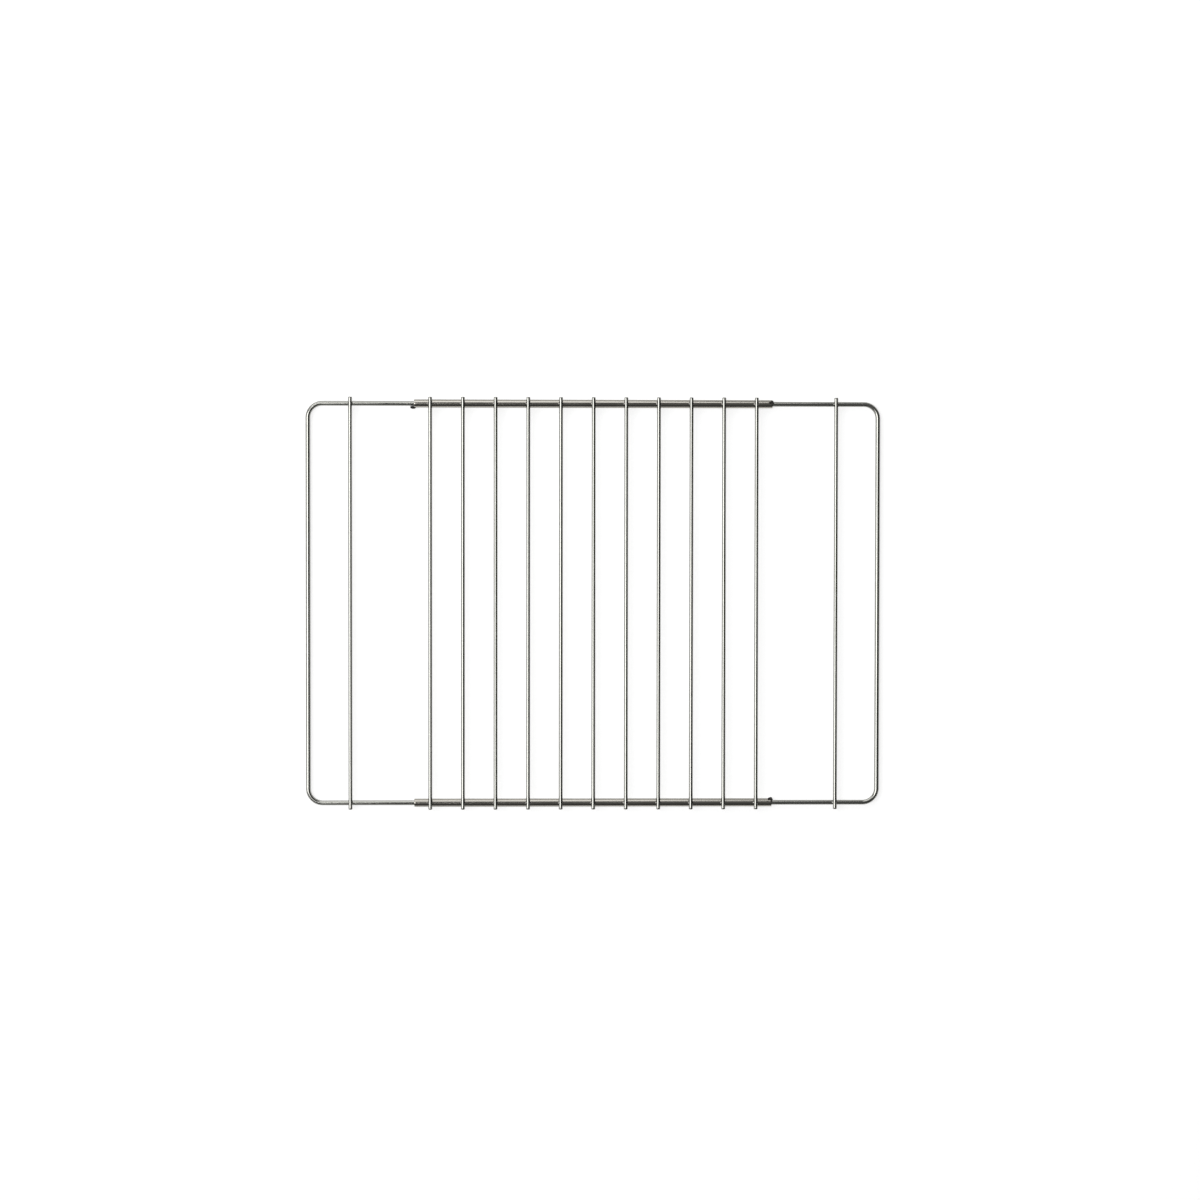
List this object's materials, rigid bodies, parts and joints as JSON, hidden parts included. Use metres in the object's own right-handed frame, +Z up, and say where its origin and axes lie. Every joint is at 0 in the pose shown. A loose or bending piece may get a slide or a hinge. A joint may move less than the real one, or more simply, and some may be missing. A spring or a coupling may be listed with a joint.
{
  "type": "extendable oven shelf rack",
  "caption": "Flat wire oven shelf whose centre ladder of cross wires on two tubes widens by U-shaped end frames that slide out of the tubes.",
  "frame": {"origin": "on the surface that the shelf rests on, below the middle of the centre rack", "axes": "+X along the two tubes to the right end frame, +Y from front to rear, +Z up"},
  "size_m": [0.446, 0.32, 0.0089],
  "materials": {
    "plated_wire": "bright plated drawn steel wire",
    "frame_wire": "bright plated drawn steel wire, bent cold",
    "plated_tube": "bright plated thin-walled steel tube",
    "weld_bead": "burnt, unplated weld metal"
  },
  "bodies": {
    "centre_rack": {"rear_tube": "plated_tube", "front_tube": "plated_tube", "cross_wire_01": "plated_wire", "cross_wire_02": "plated_wire", "cross_wire_03": "plated_wire", "cross_wire_04": "plated_wire", "cross_wire_05": "plated_wire", "cross_wire_06": "plated_wire", "cross_wire_07": "plated_wire", "cross_wire_08": "plated_wire", "cross_wire_09": "plated_wire", "cross_wire_10": "plated_wire", "cross_wire_11": "plated_wire", "rear_left_stop": "weld_bead", "rear_right_stop": "weld_bead", "front_left_stop": "weld_bead", "front_right_stop": "weld_bead"},
    "left_end": {"left_end_frame": "frame_wire", "left_end_cross_wire": "plated_wire"},
    "right_end": {"right_end_frame": "frame_wire", "right_end_cross_wire": "plated_wire"}
  },
  "joints": [
    {"name": "left_end_slide", "type": "slide", "parent": "centre_rack", "child": "left_end", "axis": [-1, 0, 0], "range_m": [-0.0466, 0.0568]},
    {"name": "right_end_slide", "type": "slide", "parent": "centre_rack", "child": "right_end", "axis": [1, 0, 0], "range_m": [-0.0466, 0.0568]}
  ]
}
